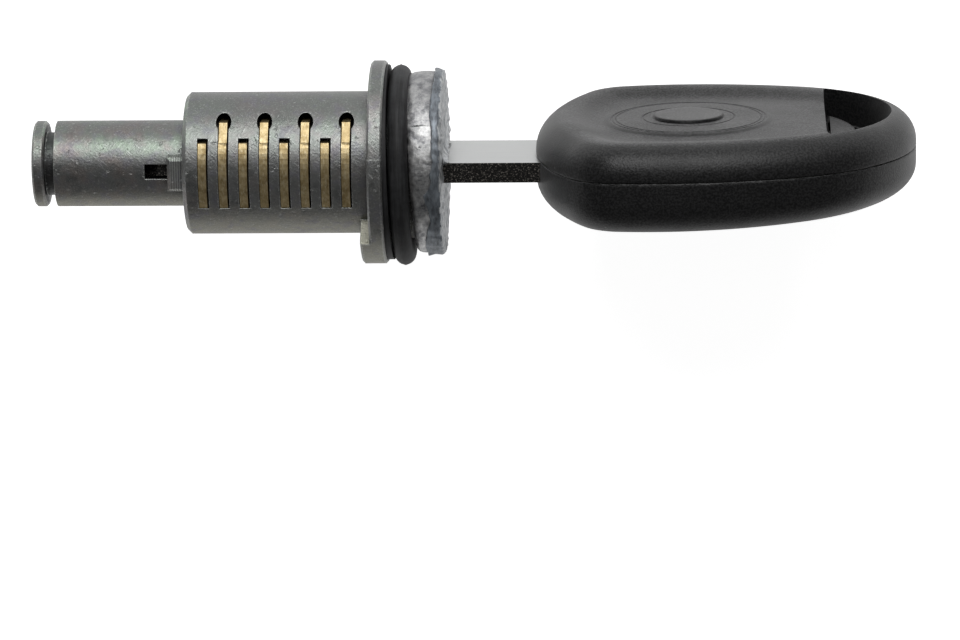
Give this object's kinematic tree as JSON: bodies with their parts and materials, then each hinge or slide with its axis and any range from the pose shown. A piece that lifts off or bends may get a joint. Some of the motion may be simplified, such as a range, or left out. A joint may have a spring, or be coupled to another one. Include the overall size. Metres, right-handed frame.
{
  "type": "door lock cylinder",
  "caption": "Turning part of a vehicle door lock: cast plug with sprung brass wafers, seals, dust flap and capped face, with its moulded-head key pushed in.",
  "frame": {"origin": "on the lock's axis, at the rear seating face of the flange", "axes": "+X along the lock from its tail towards the key, +Z across the width of the key blade, +Y away from the blade's lower face"},
  "size_m": [0.088, 0.0205, 0.0348],
  "materials": {
    "cast_zinc": "die-cast zinc alloy with a dull passivated skin",
    "raw_zinc": "bare die-cast zinc alloy",
    "cap_zinc": "thin zinc, dull and scratched",
    "wafer_brass": "stamped brass",
    "spring_wire": "drawn spring wire",
    "flap_steel": "plain sheet and wire",
    "seal_rubber": "moulded rubber",
    "blade_nickel": "satin nickel plate",
    "head_plastic": "fine matt grain"
  },
  "bodies": {
    "lock": {"plug": "cast_zinc", "seal_washer": "seal_rubber", "o_ring": "seal_rubber", "head_ring": "raw_zinc", "face_cap": "cap_zinc", "shutter_pin": "flap_steel", "shutter_spring": "spring_wire", "wafer_spring_1": "spring_wire", "wafer_spring_2": "spring_wire", "wafer_spring_3": "spring_wire", "wafer_spring_4": "spring_wire", "wafer_spring_5": "spring_wire", "wafer_spring_6": "spring_wire", "wafer_spring_7": "spring_wire", "wafer_spring_8": "spring_wire"},
    "wafer_1": {"wafer_1": "wafer_brass"},
    "wafer_2": {"wafer_2": "wafer_brass"},
    "wafer_3": {"wafer_3": "wafer_brass"},
    "wafer_4": {"wafer_4": "wafer_brass"},
    "wafer_5": {"wafer_5": "wafer_brass"},
    "wafer_6": {"wafer_6": "wafer_brass"},
    "wafer_7": {"wafer_7": "wafer_brass"},
    "wafer_8": {"wafer_8": "wafer_brass"},
    "shutter": {"shutter": "flap_steel"},
    "key": {"key_blade": "blade_nickel", "key_core": "head_plastic", "key_cover_upper": "head_plastic", "key_cover_lower": "head_plastic"}
  },
  "joints": [
    {"name": "key_slide", "type": "slide", "parent": "lock", "child": "key", "axis": [1, 0, 0], "range_m": [0, 0.04]},
    {"name": "wafer_1_slide", "type": "slide", "parent": "lock", "child": "wafer_1", "axis": [0, 0, -1], "range_m": [-0.001, 0.001], "stiffness_N_per_m": 100, "deforming": ["wafer_spring_1"]},
    {"name": "wafer_2_slide", "type": "slide", "parent": "lock", "child": "wafer_2", "axis": [0, 0, 1], "range_m": [-0.001, 0.001], "stiffness_N_per_m": 100, "deforming": ["wafer_spring_2"]},
    {"name": "wafer_3_slide", "type": "slide", "parent": "lock", "child": "wafer_3", "axis": [0, 0, -1], "range_m": [-0.001, 0.001], "stiffness_N_per_m": 100, "deforming": ["wafer_spring_3"]},
    {"name": "wafer_4_slide", "type": "slide", "parent": "lock", "child": "wafer_4", "axis": [0, 0, 1], "range_m": [-0.001, 0.001], "stiffness_N_per_m": 100, "deforming": ["wafer_spring_4"]},
    {"name": "wafer_5_slide", "type": "slide", "parent": "lock", "child": "wafer_5", "axis": [0, 0, -1], "range_m": [-0.001, 0.001], "stiffness_N_per_m": 100, "deforming": ["wafer_spring_5"]},
    {"name": "wafer_6_slide", "type": "slide", "parent": "lock", "child": "wafer_6", "axis": [0, 0, 1], "range_m": [-0.001, 0.001], "stiffness_N_per_m": 100, "deforming": ["wafer_spring_6"]},
    {"name": "wafer_7_slide", "type": "slide", "parent": "lock", "child": "wafer_7", "axis": [0, 0, -1], "range_m": [-0.001, 0.001], "stiffness_N_per_m": 100, "deforming": ["wafer_spring_7"]},
    {"name": "wafer_8_slide", "type": "slide", "parent": "lock", "child": "wafer_8", "axis": [0, 0, 1], "range_m": [-0.001, 0.001], "stiffness_N_per_m": 100, "deforming": ["wafer_spring_8"]},
    {"name": "shutter_swing", "type": "hinge", "parent": "lock", "child": "shutter", "pos_m": [0.00595, 0.00181, 0], "axis": [0, 0, -1], "range_deg": [0, 6], "stiffness_Nm_per_rad": 0.0001, "springref_deg": -85.94}
  ]
}
